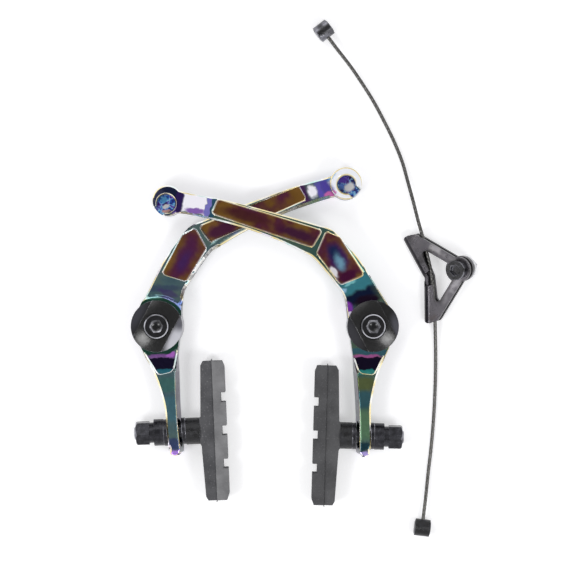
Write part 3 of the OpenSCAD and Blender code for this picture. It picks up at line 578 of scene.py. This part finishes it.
# The patches are painted light and shade on the caps' flats: some flats painted light grey, others dark
CAP_BLACK = BlackFinish(
    "satin_black_anodised_cap", "030304", "0a0a0c", 0.2, 0.0, 0.3, 0.004, "Z", "b4b4bc", 18.65,
    (
        Patch(-52.6, 5.0, 4.0, 9.0, -28.0, "303038", soft=0.8), Patch(-35.4, -4.6, 4.2, 9.0, -28.0, "c2c2ca", soft=0.5),
        Patch(-34.4, 1.0, 3.0, 3.4, -28.0, "5c5c64", soft=0.8), Patch(35.6, -3.0, 3.6, 8.0, 28.0, "2c2c32", soft=0.8),
        Patch(53.4, -0.6, 2.4, 6.0, 8.0, "46464e", soft=0.8),
    ),
)
BOLT_BLACK = BlackFinish("black_oxide_bolt", "0b0b0e", "18181c", 0.2, 0.3, 0.5, 0.008, "Z", "c4c4cc")
OXIDE_BLACK = BlackFinish("black_oxide_steel", "1c1c21", "3a3a40", 0.24, 0.5, 0.5, 0.012, "X", "9a9aa2")
CLAMP_BLACK = BlackFinish("black_oxide_clamp", "0c0c0f", "1c1c20", 0.22, 0.2, 0.5, 0.01, "Y", "8a8a92")
CAST_BLACK = BlackFinish("cast_black_cup", "0e0e10", "242428", 0.3, 0.2, 0.7, 0.16, "X", "84848c")
# The patches are painted highlights along the yoke's fold and painted shade at its edges and lower end
SHEET_BLACK = BlackFinish(
    "black_coated_sheet", "1c191b", "343134", 0.3, 0.35, 0.6, 0.015, "X", "4c4a4e", None,
    (
        Patch(63.4, 35.6, 2.6, 4.6, -30.0, "a29c9f", 0.9, soft=0.9), Patch(71.6, 30.6, 7.6, 1.7, -31.0, "9c999c", 0.9, soft=0.7),
        Patch(77.2, 15.4, 7.6, 1.7, 60.0, "98959a", 0.9, soft=0.7), Patch(68.0, 11.0, 1.2, 6.0, 2.0, "6a6466", 0.8, soft=0.9),
        Patch(68.6, 4.0, 3.4, 2.4, 0.0, "40342f", 0.8, soft=0.7), Patch(62.0, 28.0, 8.0, 0.7, -60.0, "141012", 0.8, soft=0.6),
    ),
)
FRONT_RUBBER = MouldedRubber(
    "moulded_brake_rubber_front", ("414143", "565658"), ("3e3e40", "525254"), "747476", (30.8, -45.03), -1.6,
)
REAR_RUBBER = MouldedRubber(
    "moulded_brake_rubber_rear", ("414144", "565659"), ("666668", "848486"), "8c8c8e", (-26.68, -43.1), 182.4,
)
STRAND = PlainMetal("drawn_stranded_steel", "6f6e6c", "3c3b3a", 0.35, 0.6)
ZINC = PlainMetal("zinc_plated_steel", "d6d6d8", "a9a9ac", 0.3, 1.5)
BRONZE = PlainMetal("sintered_bronze", "a8793e", "7a5628", 0.45, 0.4)
SPRING = PlainMetal("drawn_spring_wire", "8a8a8c", "55555a", 0.3, 0.5)


# Shared ways of making a piece


def edges_sharper(bm: bmesh.types.BMesh, degrees: float) -> list[bmesh.types.BMEdge]:
    """Finds the edges between faces that meet at more than an angle.

    Args:
        bm: The mesh.
        degrees: The angle.

    Returns:
        The edges.
    """
    limit = math.radians(degrees)
    return [e for e in bm.edges if len(e.link_faces) == 2 and e.calc_face_angle(0.0) > limit]


def placed(bm: bmesh.types.BMesh, name: str, material: bpy.types.Material, smooth_deg: float = 35.0) -> bpy.types.Object:
    """Turns a bmesh into an object at the origin.

    Args:
        bm: The finished mesh, in metres. It is freed.
        name: The piece's name.
        material: Its finish.
        smooth_deg: Edges sharper than this stay sharp.

    Returns:
        The new object.
    """
    mesh = bpy.data.meshes.new(name)
    bm.to_mesh(mesh)
    bm.free()
    mesh.materials.clear()
    mesh.materials.append(material)
    mesh.shade_smooth()
    mesh.set_sharp_from_angle(angle=math.radians(smooth_deg))
    piece = bpy.data.objects.new(name, mesh)
    bpy.context.scene.collection.objects.link(piece)
    return piece


def corner_cutters(edges: list[bmesh.types.BMEdge], width_mm: float) -> list[bpy.types.Object]:
    """Makes the tools that plane a chamfer along level edges, one for each run of edges.

    Args:
        edges: Level edges between an upper face and a wall.
        width_mm: The chamfer's width.

    Returns:
        The tools.
    """
    slack = 0.08 * MM
    reach = width_mm * MM + slack
    tools = []
    left = set(edges)
    while left:
        run, wait = [], [left.pop()]
        while wait:
            edge = wait.pop()
            run.append(edge)
            for near in [e for v in edge.verts for e in v.link_edges if e in left]:
                left.remove(near)
                wait.append(near)
        outward: dict[bmesh.types.BMVert, list[Vector]] = {}
        for edge in run:
            wall = next(f for f in edge.link_faces if f.normal.z < 0.9)
            for vert in edge.verts:
                outward.setdefault(vert, []).append(Vector((wall.normal.x, wall.normal.y, 0.0)).normalized())
        bm = bmesh.new()
        rings: dict[bmesh.types.BMVert, list[bmesh.types.BMVert]] = {}
        for vert, normals in outward.items():
            middle = sum(normals, Vector()).normalized()
            middle /= max(0.4, middle.dot(normals[0]))
            up = Vector((0.0, 0.0, 1.0))
            rings[vert] = [
                bm.verts.new(vert.co - middle * reach + up * slack), bm.verts.new(vert.co + middle * slack + up * slack),
                bm.verts.new(vert.co + middle * slack - up * reach),
            ]
        for edge in run:
            one, two = rings[edge.verts[0]], rings[edge.verts[1]]
            for k in range(3):
                bm.faces.new((one[k], one[(k + 1) % 3], two[(k + 1) % 3], two[k]))
        for vert, normals in outward.items():
            if len(normals) == 1:
                bm.faces.new(rings[vert])
        bmesh.ops.recalc_face_normals(bm, faces=bm.faces)
        mesh = bpy.data.meshes.new("chamfer_tool")
        bm.to_mesh(mesh)
        bm.free()
        tools.append(bpy.data.objects.new("chamfer_tool", mesh))
    return tools


def carved(bm: bmesh.types.BMesh, tools: list[bpy.types.Object]) -> bmesh.types.BMesh:
    """Cuts tools out of a solid, one after another.

    Args:
        bm: The solid. It is freed.
        tools: What is cut out. They are removed.

    Returns:
        What is left.
    """
    mesh = bpy.data.meshes.new("carved")
    bm.to_mesh(mesh)
    bm.free()
    solid = bpy.data.objects.new("carved", mesh)
    scene = bpy.context.scene.collection.objects
    for piece in [solid, *tools]:
        scene.link(piece)
    for tool in tools:
        cut = solid.modifiers.new("cut", "BOOLEAN")
        cut.operation = "DIFFERENCE"
        cut.solver = "MANIFOLD"
        cut.object = tool
    left = bpy.data.meshes.new_from_object(solid.evaluated_get(bpy.context.evaluated_depsgraph_get()))
    out = bmesh.new()
    out.from_mesh(left)
    for piece in [solid, *tools]:
        data = piece.data
        bpy.data.objects.remove(piece)
        bpy.data.meshes.remove(data)
    bpy.data.meshes.remove(left)
    return out


def finish(bm: bmesh.types.BMesh, node: str, body: str, material: bpy.types.Material) -> bpy.types.Object:
    """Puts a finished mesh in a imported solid's place.

    Args:
        bm: The mesh. It is freed.
        node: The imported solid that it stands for.
        body: The body that it rides on.
        material: Its finish.

    Returns:
        The new piece.
    """
    piece = placed(bm, node + "_finished", material)
    weigh = piece.modifiers.new("weighted", "WEIGHTED_NORMAL")
    weigh.keep_sharp = True
    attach(piece, body)
    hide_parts(node)
    LOG.info("%s: %d vertices", piece.name, len(piece.data.vertices))
    return piece


def drill_point(bm: bmesh.types.BMesh) -> None:
    """Deepens the floor of a bolt's socket to the point that its drill left.

    Args:
        bm: The bolt's mesh.
    """
    level = [f for f in bm.faces if f.normal.z > 0.99 and f.calc_center_median().z > HEAD_LOW_MM * MM]
    floor = min(level, key=lambda f: f.calc_center_median().z)
    bmesh.ops.poke(bm, faces=[floor], offset=-1.9 * MM, center_mode="MEAN")


def dressed(
    node: str, body: str, material: bpy.types.Material, edge: Edge, segments: int = 3,
    after: Callable[[bmesh.types.BMesh], None] | None = None,
) -> bpy.types.Object:
    """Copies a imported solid, breaks its edges and puts the copy in its place.

    Args:
        node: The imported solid.
        body: The body that it rides on.
        material: Its finish.
        edge: How far its edges are broken.
        segments: Steps across each broken edge.
        after: Changes the mesh once its edges are broken.

    Returns:
        The new piece.
    """
    bm = bmesh.new()
    bm.from_mesh(frame["nodes"][node].data)
    bmesh.ops.remove_doubles(bm, verts=bm.verts, dist=0.002 * MM)
    bmesh.ops.dissolve_limit(bm, angle_limit=math.radians(0.6), verts=bm.verts, edges=bm.edges)
    bmesh.ops.bevel(
        bm, geom=edges_sharper(bm, 32.0), offset=edge.value * MM, offset_type="OFFSET", affect="EDGES",
        segments=segments, profile=0.5, material=-1, clamp_overlap=True,
    )
    if after:
        after(bm)
    return finish(bm, node, body, material)


# Camera, light and floor


@dataclass
class Studio:
    """The pale table, the soft light and the camera above it."""

    look_at_mm: tuple[float, float] = (7.8, 17.2)
    mm_per_pixel: float = 0.4093
    pixels: int = 568
    sharp_height_mm: float = 12.0
    distance_mm: float = 900.0
    floor_mm: float = -0.4
    ceiling: float = 0.6
    daylight: float = 0.5

    def camera(self) -> bpy.types.Object:
        """Puts the camera straight above the brake.

        Returns:
            The camera.
        """
        data = bpy.data.cameras.new("camera")
        data.sensor_width = 36.0
        data.lens = 36.0 * self.distance_mm / (self.pixels * self.mm_per_pixel)
        data.clip_start = 0.01
        data.clip_end = 20.0
        eye = bpy.data.objects.new("camera", data)
        height = self.sharp_height_mm + self.distance_mm
        eye.location = Vector((self.look_at_mm[0], self.look_at_mm[1], height)) * MM
        bpy.context.scene.collection.objects.link(eye)
        bpy.context.scene.camera = eye
        return eye

    def lamp(self, name: str, place: tuple[float, float, float], size: float, watts: float) -> None:
        """Hangs a square soft box that faces the brake.

        Args:
            name: The lamp's name.
            place: Where it hangs, in metres.
            size: Its side, in metres.
            watts: Its power.
        """
        data = bpy.data.lights.new(name, "AREA")
        data.shape = "SQUARE"
        data.size = size
        data.energy = watts
        lamp = bpy.data.objects.new(name, data)
        lamp.location = place
        lamp.rotation_euler = (-Vector(place)).to_track_quat("-Z", "Y").to_euler()
        bpy.context.scene.collection.objects.link(lamp)

    def world(self) -> None:
        """Makes the room white to the eye and to metal, and dimmer as light."""
        world = bpy.data.worlds.new("studio_world")
        bpy.context.scene.world = world
        world.use_nodes = True
        tree = world.node_tree
        tree.nodes.clear()
        path = add(tree, "LightPath")
        mirror = add(tree, "Math", {0: path.outputs["Is Glossy Ray"], 1: path.outputs["Is Transmission Ray"]}, operation="MAXIMUM")
        height = add(tree, "SeparateXYZ", {0: add(tree, "TexCoord").outputs["Generated"]}).outputs["Z"]
        # A dimmer ceiling keeps level black faces black, and the walls light the edges
        walls = ranged(tree, height, 0.62, 0.97, 1.05, self.ceiling)
        white = add(tree, "Math", {0: walls, 1: self.daylight}, operation="SUBTRACT").outputs[0]
        strength = add(tree, "Math", {0: times(tree, mirror.outputs[0], white), 1: self.daylight}, operation="ADD").outputs[0]
        plain = times(tree, path.outputs["Is Camera Ray"], 1.0 - self.daylight)
        strength = add(tree, "Math", {0: strength, 1: plain}, operation="ADD").outputs[0]
        back = add(tree, "Background", {"Color": linear("ffffff"), "Strength": strength})
        add(tree, "OutputWorld", {"Surface": back.outputs[0]})

    def floor(self) -> None:
        """Lays the white table, which keeps the brake's soft shadow."""
        material = bpy.data.materials.new("white_table")
        material.use_nodes = True
        tree = material.node_tree
        tree.nodes.clear()
        path = add(tree, "LightPath")
        seen = add(tree, "Math", {0: path.outputs["Is Camera Ray"], 1: path.outputs["Is Glossy Ray"]}, operation="MAXIMUM")
        lift = times(tree, seen.outputs[0], 0.42)
        matt = add(tree, "BsdfDiffuse", {"Color": linear("e8e8ea")})
        glow = add(tree, "Emission", {"Color": linear("ffffff"), "Strength": lift})
        both = add(tree, "AddShader", {0: matt.outputs[0], 1: glow.outputs[0]})
        add(tree, "OutputMaterial", {"Surface": both.outputs[0]})
        bm = bmesh.new()
        bmesh.ops.create_grid(bm, x_segments=1, y_segments=1, size=3.0)
        bmesh.ops.translate(bm, vec=(0.0, 0.0, self.floor_mm * MM), verts=bm.verts)
        placed(bm, "table", material)

    def build(self) -> None:
        """Sets up the room."""
        bpy.context.scene.view_settings.view_transform = "Standard"
        self.camera()
        self.lamp("key_box", (-0.5, 0.75, 0.9), 0.7, 3.0)
        self.lamp("left_box", (-0.22, -0.15, 0.42), 0.12, 0.55)
        self.lamp("right_box", (0.22, -0.15, 0.42), 0.12, 0.55)
        self.world()
        self.floor()
        LOG.info("studio: camera, three soft boxes, room and table")


# The loose cable


@dataclass
class StraddleCable:
    """The stranded cable with its barrels, and the folded yoke that rides on it."""

    diameter_mm: float = 1.5
    strands: int = 6
    lay_mm: float = 11.0
    steps: int = 12
    route_mm: tuple[tuple[float, float, float], ...] = (
        (24.6, 121.2, 3.5), (26.2, 119, 3.5), (30, 114, 3.2), (35.2, 107.4, 2.5), (40.2, 100.2, 1.7),
        (45, 92.6, 1.2), (49.4, 84.4, 1), (53.4, 76.2, 1.1), (56.8, 67.6, 1.6), (59.2, 58.8, 2.6),
        (61.2, 51.2, 3.7), (63, 43.8, 4.7), (64.9, 37, 5.1), (66.7, 30, 5.1), (68.3, 23, 5),
        (69.2, 16.5, 4.7), (69.8, 10, 4), (70.2, 3, 3.2), (70.4, -4, 2.4), (70.6, -14, 1.4),
        (70.4, -26, 1), (69.8, -38, 1), (68.8, -50, 1), (67.5, -61, 1.4), (66.4, -71, 2.5),
        (65.5, -78, 3.3), (65, -82.4, 3.5),
    )

    def path(self) -> list[Vector]:
        """Runs a smooth curve through the route's points.

        Returns:
            The centreline's points, in metres.
        """
        pts = [Vector(p) * MM for p in self.route_mm]
        line: list[Vector] = []
        for i in range(len(pts) - 1):
            p0, p1, p2, p3 = pts[max(i - 1, 0)], pts[i], pts[i + 1], pts[min(i + 2, len(pts) - 1)]
            for s in range(self.steps):
                t = s / self.steps
                line.append(0.5 * (
                    2 * p1 + (p2 - p0) * t + (2 * p0 - 5 * p1 + 4 * p2 - p3) * t * t
                    + (3 * p1 - p0 - 3 * p2 + p3) * t * t * t
                ))
        line.append(pts[-1])
        return line

    def build(self, material: bpy.types.Material, on_it: list[bpy.types.Object]) -> bpy.types.Object:
        """Sweeps a ring of round strands along the line, turned by the lay.

        Args:
            material: The strands' finish.
            on_it: The pieces that sit on the cable. Not used.

        Returns:
            The cable.
        """
        line = self.path()
        bm = bmesh.new()
        around = self.strands * 4
        strand = self.diameter_mm / 2 * MM
        gone = 0.0
        rings: list[list[bmesh.types.BMVert]] = []
        for i, point in enumerate(line):
            ahead = line[min(i + 1, len(line) - 1)] - line[max(i - 1, 0)]
            along = ahead.normalized()
            across = along.cross(Vector((0, 0, 1))).normalized()
            over = across.cross(along)
            gone += (point - line[i - 1]).length if i else 0.0
            twist = 2 * math.pi * gone / (self.lay_mm * MM)
            ring = []
            for k in range(around):
                angle = 2 * math.pi * k / around
                lobe = abs(math.cos(self.strands * angle / 2))
                radius = strand * (0.86 + 0.14 * lobe)
                ring.append(bm.verts.new(
                    point + across * radius * math.cos(angle + twist) + over * radius * math.sin(angle + twist)
                ))
            rings.append(ring)
        for before, after in zip(rings, rings[1:]):
            for k in range(around):
                n = (k + 1) % around
                bm.faces.new((before[k], before[n], after[n], after[k]))
        bm.faces.new(list(reversed(rings[0])))
        bm.faces.new(rings[-1])
        bmesh.ops.recalc_face_normals(bm, faces=bm.faces)
        piece = placed(bm, "straddle_cable_strands", material, 60.0)
        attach(piece, "frame_side")
        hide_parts("straddle_cable")
        return piece


@dataclass
class CableSet:
    """The straddle cable, its two barrels and the yoke with its clamp."""

    cable: StraddleCable = field(default_factory=StraddleCable)

    def build(self) -> None:
        """Builds the loose set that lies beside the brake."""
        sheet = SHEET_BLACK.build()
        clamp = CLAMP_BLACK.build()
        body = "frame_side"
        pieces = [
            dressed("yoke", body, sheet, Edge.SHEET),
            dressed("yoke_clamp_bolt", body, clamp, Edge.TURNED),
            dressed("yoke_clamp_washer", body, clamp, Edge.TURNED),
            dressed("yoke_clamp_nut", body, ZINC.build(), Edge.TURNED),
            dressed("upper_cable_end", body, CAST_BLACK.build(), Edge.TURNED),
            dressed("lower_cable_end", body, CAST_BLACK.build(), Edge.TURNED),
        ]
        self.cable.build(STRAND.build(), pieces)


# The arms and what is clamped to them


@dataclass
class Pad:
    """A brake pad on its post, with its washers and nut."""

    side: Side
    rubber: MouldedRubber

    def build(self, oxide: bpy.types.Material, cast: bpy.types.Material) -> None:
        """Builds the pad's pieces.

        Args:
            oxide: The finish of posts, nuts and outer washers.
            cast: The finish of the cup next to the pad.
        """
        name = self.side.value
        pad, arm = name + "_pad", name + "_arm"
        dressed(name + "_pad_rubber", pad, self.rubber.build(), Edge.MOULDED, after=self.rubber.score)
        dressed(name + "_pad_post", pad, oxide, Edge.TURNED)
        dressed(name + "_inner_cup", pad, cast, Edge.TURNED)
        dressed(name + "_outer_cup", pad, oxide, Edge.TURNED)
        dressed(name + "_pad_nut", pad, oxide, Edge.TURNED)
        dressed(name + "_inner_dome", arm, oxide, Edge.TURNED)
        dressed(name + "_outer_dome", arm, oxide, Edge.TURNED)


@dataclass
class Arm:
    """One arm with its bushing, spring, cap and bolt."""

    side: Side
    film: OilSlick
    pivot_x_mm: float
    turn_deg: float
    tip_mm: tuple[float, float]
    tip_top_mm: float
    inner_edge_mm: float
    elbow_mm: tuple[float, float] = (-20.4, 33.6)
    foot_mm: tuple[float, float] = (-3.6, -50.0)
    hub_reach_mm: float = 12.4
    leg_top_mm: float = 12.6
    leg_low_mm: float = 2.4
    skirt_top_mm: float = 15.0
    draft_mm: float = 1.4
    outer_edge_mm: float = 0.5
    leg_edge_mm: float = 0.7
    rim_mm: float = 0.7
    skirt_edge_mm: float = 0.6

    def own(self, point: Vector) -> Vector:
        """Turns a point into the arm's own drawing, in millimetres, with its tip to the left.

        Args:
            point: A point of the mesh.

        Returns:
            The same point about the pivot.
        """
        p = Vector((point.x / MM - self.pivot_x_mm, point.y / MM, point.z / MM))
        if self.side is Side.FRONT:
            return p
        p = Matrix.Rotation(-math.radians(self.turn_deg), 3, "Z") @ p
        return Vector((-p.x, p.y, p.z))

    def outward(self, p: Vector) -> float:
        """Tells how far a point lies outside the arm's middle line.

        Args:
            p: A point in the arm's own drawing.

        Returns:
            Positive on the outer side, negative on the side of the rim.
        """
        line = [Vector(q) for q in (self.tip_mm, self.elbow_mm, (0.0, 0.0), self.foot_mm)]
        best, found = 1e9, 0.0
        for start, end in zip(line, line[1:]):
            along = end - start
            t = min(1.0, max(0.0, (p.xy - start).dot(along) / along.length_squared))
            gap = p.xy - start - along * t
            if gap.length < best:
                best = gap.length
                found = (along.x * gap.y - along.y * gap.x) / along.length
        return found

    def drafted(self, bm: bmesh.types.BMesh) -> None:
        """Leans the inner wall of the leg, as its forging die left it.

        Args:
            bm: The arm's mesh.
        """
        for vert in bm.verts:
            p = self.own(vert.co)
            if p.y > -13.0 or self.outward(p) > -0.6 or p.z < self.leg_low_mm:
                continue
            grow = min(1.0, (-13.0 - p.y) / 7.0)
            shift = self.draft_mm * grow * min(1.0, (p.z - self.leg_low_mm) / (self.leg_top_mm - self.leg_low_mm))
            vert.co.x += shift * MM * (1.0 if self.side is Side.FRONT else -1.0)

    def chamfered(self, bm: bmesh.types.BMesh) -> list[tuple[list[bmesh.types.BMEdge], float]]:
        """Picks the edges that are broken wide enough to shine, each group with its width.

        Args:
            bm: The arm's mesh.

        Returns:
            Groups of edges, each with the width of its chamfer in millimetres.
        """
        top = self.film.face_top_mm
        deep = top - self.film.pocket_depth_mm
        rims, outer, inner, leg, skirt = [], [], [], [], []
        for edge in edges_sharper(bm, 40.0):
            walls = [f for f in edge.link_faces if f.normal.z < 0.9]
            heights = [v.co.z / MM for v in edge.verts]
            if len(walls) != 1 or max(heights) - min(heights) > 0.03:
                continue
            low = min(v.co.z / MM for v in walls[0].verts)
            if low > heights[0] - 0.1:
                continue
            middle = self.own((edge.verts[0].co + edge.verts[1].co) / 2)
            near = min(self.own(v.co).xy.length for v in edge.verts)
            level = heights[0]
            if abs(level - top) < 0.03 and near > self.hub_reach_mm and middle.y > 0:
                if low > deep - 0.1:
                    rims.append(edge)
                elif self.outward(middle) > 0 or (middle.xy - Vector(self.tip_mm)).length < 8.5:
                    outer.append(edge)
                else:
                    inner.append(edge)
            elif abs(level - self.leg_top_mm) < 0.03 and middle.y < -11.0:
                leg.append(edge)
            elif abs(level - self.skirt_top_mm) < 0.03 and middle.y < -10.6:
                skirt.append(edge)
            elif abs(level - self.tip_top_mm) < 0.03 and (middle.xy - Vector(self.tip_mm)).length > 5.6:
                outer.append(edge)
        return [
            (rims, self.rim_mm), (outer, self.outer_edge_mm), (inner, self.inner_edge_mm), (leg, self.leg_edge_mm),
            (skirt, self.skirt_edge_mm),
        ]

    def finished(self, material: bpy.types.Material) -> bpy.types.Object:
        """Makes the forged arm with its wide bright chamfers.

        Args:
            material: The film.

        Returns:
            The piece.
        """
        node = self.side.value + "_arm"
        bm = bmesh.new()
        bm.from_mesh(frame["nodes"][node].data)
        bmesh.ops.remove_doubles(bm, verts=bm.verts, dist=0.002 * MM)
        bmesh.ops.dissolve_limit(bm, angle_limit=math.radians(0.6), verts=bm.verts, edges=bm.edges)
        self.drafted(bm)
        cutters = [cutter for edges, width in self.chamfered(bm) for cutter in corner_cutters(edges, width)]
        bm = carved(bm, cutters)
        return finish(bm, node, node, material)

    def build(self, cap: bpy.types.Material, steel: bpy.types.Material, bronze: bpy.types.Material, spring: bpy.types.Material) -> None:
        """Builds the arm's pieces.

        Args:
            cap: The cap's finish.
            steel: The finish of bolt and washer.
            bronze: The bushing's metal.
            spring: The spring's wire.
        """
        name = self.side.value
        self.finished(self.film.build())
        dressed(name + "_bushing", name + "_arm", bronze, Edge.TURNED)
        dressed(name + "_return_spring", name + "_cap", spring, Edge.TURNED, 1)
        dressed(name + "_spring_cap", name + "_cap", cap, Edge.TURNED)
        dressed(name + "_bolt_washer", "frame_side", steel, Edge.TURNED)
        dressed(name + "_pivot_bolt", "frame_side", steel, Edge.TURNED, after=drill_point)


def main() -> None:
    """Builds the studio, the cable set and both sides of the brake."""
    logging.basicConfig(level=logging.INFO, format="%(message)s")
    Studio().build()
    CableSet().build()
    cap, steel, bronze, spring = CAP_BLACK.build(), BOLT_BLACK.build(), BRONZE.build(), SPRING.build()
    oxide, cast = OXIDE_BLACK.build(), CAST_BLACK.build()
    arms = (
        Arm(Side.REAR, REAR_FILM, -44.0, 5.4, (-82.3, 50.8), 13.5, 1.2),
        Arm(Side.FRONT, FRONT_FILM, 44.0, 0.0, (-83.7, 51.2), 15.5, 0.65),
    )
    for arm, rubber in zip(arms, (REAR_RUBBER, FRONT_RUBBER)):
        arm.build(cap, steel, bronze, spring)
        Pad(arm.side, rubber).build(oxide, cast)


if __name__ == "__main__":
    main()
